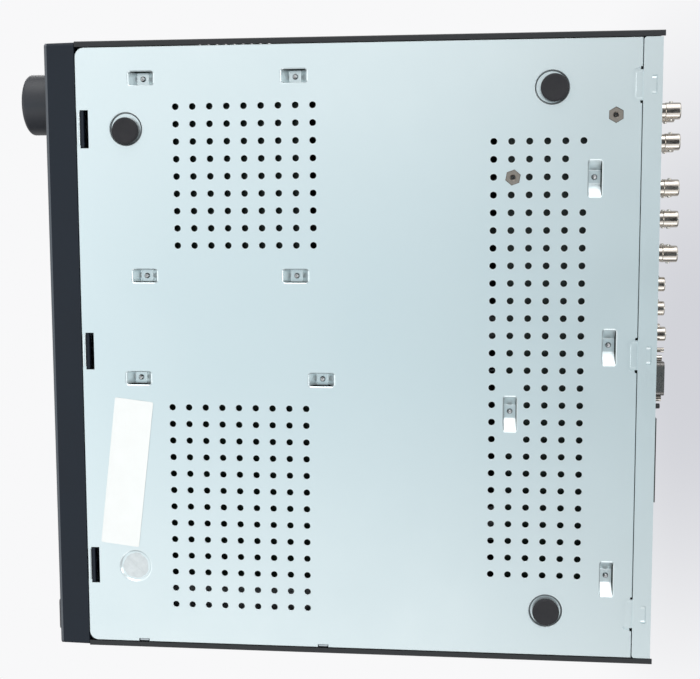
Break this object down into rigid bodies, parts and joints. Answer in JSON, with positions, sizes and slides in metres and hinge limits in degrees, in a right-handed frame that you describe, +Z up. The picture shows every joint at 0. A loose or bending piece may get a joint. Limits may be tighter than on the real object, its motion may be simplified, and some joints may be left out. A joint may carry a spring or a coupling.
{
  "type": "digital video recorder",
  "caption": "Flat video recorder with a disc tray, jog knob and keys in front, bayonet video sockets behind and a pierced, pressed bottom plate on rubber feet.",
  "frame": {"origin": "middle of the bounding box, on the surface the rubber feet stand on", "axes": "+Z up, -Y towards the front controls, +Y towards the rear sockets, +X to the right seen from the front"},
  "size_m": [0.3612, 0.3836, 0.067],
  "materials": {
    "plate_zinc": "electro-galvanised sheet, silky pale blue-grey",
    "cover_paint": "dark grey baked enamel, matt",
    "plastic_front": "dark blue-grey moulded, fine texture",
    "trim_metal": "satin brushed",
    "knob_plastic": "dark grey soft sheen",
    "gloss_black": "polished black",
    "button_grey": "dark grey, smooth",
    "black_plastic": "black moulded",
    "cream_plastic": "cream moulded",
    "terminal_plastic": "dark grey moulded",
    "board_green": "green solder mask",
    "zinc_steel": "zinc plated sheet",
    "screw_steel": "zinc plated",
    "nickel": "bright nickel plate",
    "contact_brass": "gold flashed",
    "cast_alloy": "cast, blasted",
    "black_anodised": "black anodised",
    "can_alloy": "drawn, bare top",
    "core_steel": "varnished laminations",
    "feet_rubber": "matt black",
    "label_paper": "blank white, matt",
    "ribbon_grey": "grey flexible",
    "lead_black": "black flexible",
    "tray_plastic": "black moulded"
  },
  "bodies": {
    "recorder": {"blank_label": "label_paper", "bnc_barrels": "nickel", "bnc_contacts": "contact_brass", "board_capacitors": "can_alloy", "board_chips": "black_plastic", "board_heatsink": "black_anodised", "bottom_chassis": "plate_zinc", "disc_drive_case": "can_alloy", "drive_bracket": "zinc_steel", "fan_frame": "black_plastic", "front_bezel": "plastic_front", "front_board": "board_green", "front_fascia": "trim_metal", "hard_disc": "cast_alloy", "hard_disc_board": "board_green", "hard_disc_lid": "can_alloy", "hex_standoffs": "screw_steel", "inlet_pins": "nickel", "jack_screws": "nickel", "jog_encoder": "screw_steel", "mainboard": "board_green", "mounting_screws": "screw_steel", "network_socket": "nickel", "panel_screws": "screw_steel", "power_board": "board_green", "power_capacitors": "can_alloy", "power_heatsinks": "black_anodised", "power_inlet": "black_plastic", "power_leads": "lead_black", "power_transformer": "core_steel", "rca_shells": "nickel", "rear_panel": "plate_zinc", "ribbon_cables": "ribbon_grey", "rubber_feet": "feet_rubber", "socket_housings": "black_plastic", "socket_insulators": "cream_plastic", "status_lens": "gloss_black", "tact_switches": "black_plastic", "terminal_block": "terminal_plastic", "top_cover": "cover_paint", "usb_sockets": "nickel", "video_shield": "zinc_steel", "video_socket": "screw_steel"},
    "shuttle_ring": {"shuttle_ring": "knob_plastic"},
    "jog_dial": {"jog_dial": "knob_plastic"},
    "power_button": {"power_button": "knob_plastic"},
    "disc_tray": {"disc_tray": "tray_plastic", "tray_front": "button_grey"},
    "eject_button": {"eject_button": "gloss_black"},
    "disc_hub": {"disc_hub": "gloss_black"},
    "reset_button": {"reset_button": "black_plastic"},
    "fan_rotor": {"fan_rotor": "black_plastic"},
    "channel_button_1": {"channel_button_1": "button_grey"},
    "channel_button_2": {"channel_button_2": "button_grey"},
    "channel_button_3": {"channel_button_3": "button_grey"},
    "channel_button_4": {"channel_button_4": "button_grey"},
    "rewind_button": {"rewind_button": "button_grey"},
    "play_button": {"play_button": "button_grey"},
    "record_button": {"record_button": "button_grey"},
    "menu_button": {"menu_button": "button_grey"}
  },
  "joints": [
    {"name": "shuttle_turn", "type": "hinge", "parent": "recorder", "child": "shuttle_ring", "pos_m": [0.1467, -0.18, 0.0275], "axis": [0, 1, 0], "range_deg": [-75, 75], "stiffness_Nm_per_rad": 0.03},
    {"name": "jog_spin", "type": "hinge", "parent": "recorder", "child": "jog_dial", "pos_m": [0.1467, -0.18, 0.0275], "axis": [0, 1, 0], "continuous": true},
    {"name": "power_press", "type": "slide", "parent": "recorder", "child": "power_button", "axis": [0, 1, 0], "range_m": [0, 0.0015], "stiffness_N_per_m": 900},
    {"name": "channel_1_press", "type": "slide", "parent": "recorder", "child": "channel_button_1", "axis": [0, 1, 0], "range_m": [0, 0.0008], "stiffness_N_per_m": 900},
    {"name": "channel_2_press", "type": "slide", "parent": "recorder", "child": "channel_button_2", "axis": [0, 1, 0], "range_m": [0, 0.0008], "stiffness_N_per_m": 900},
    {"name": "channel_3_press", "type": "slide", "parent": "recorder", "child": "channel_button_3", "axis": [0, 1, 0], "range_m": [0, 0.0008], "stiffness_N_per_m": 900},
    {"name": "channel_4_press", "type": "slide", "parent": "recorder", "child": "channel_button_4", "axis": [0, 1, 0], "range_m": [0, 0.0008], "stiffness_N_per_m": 900},
    {"name": "rewind_press", "type": "slide", "parent": "recorder", "child": "rewind_button", "axis": [0, 1, 0], "range_m": [0, 0.0008], "stiffness_N_per_m": 900},
    {"name": "play_press", "type": "slide", "parent": "recorder", "child": "play_button", "axis": [0, 1, 0], "range_m": [0, 0.0008], "stiffness_N_per_m": 900},
    {"name": "record_press", "type": "slide", "parent": "recorder", "child": "record_button", "axis": [0, 1, 0], "range_m": [0, 0.0008], "stiffness_N_per_m": 900},
    {"name": "menu_press", "type": "slide", "parent": "recorder", "child": "menu_button", "axis": [0, 1, 0], "range_m": [0, 0.0008], "stiffness_N_per_m": 900},
    {"name": "tray_slide", "type": "slide", "parent": "recorder", "child": "disc_tray", "axis": [0, -1, 0], "range_m": [0, 0.112]},
    {"name": "eject_press", "type": "slide", "parent": "disc_tray", "child": "eject_button", "axis": [0, 1, 0], "range_m": [0, 0.0008], "stiffness_N_per_m": 500},
    {"name": "disc_spin", "type": "hinge", "parent": "disc_tray", "child": "disc_hub", "pos_m": [-0.084, -0.10605, 0.048], "axis": [0, 0, 1], "continuous": true},
    {"name": "reset_press", "type": "slide", "parent": "recorder", "child": "reset_button", "axis": [0, -1, 0], "range_m": [0, 0.001], "stiffness_N_per_m": 400},
    {"name": "fan_spin", "type": "hinge", "parent": "recorder", "child": "fan_rotor", "pos_m": [-0.104, 0.173, 0.0452], "axis": [0, 1, 0], "continuous": true}
  ]
}
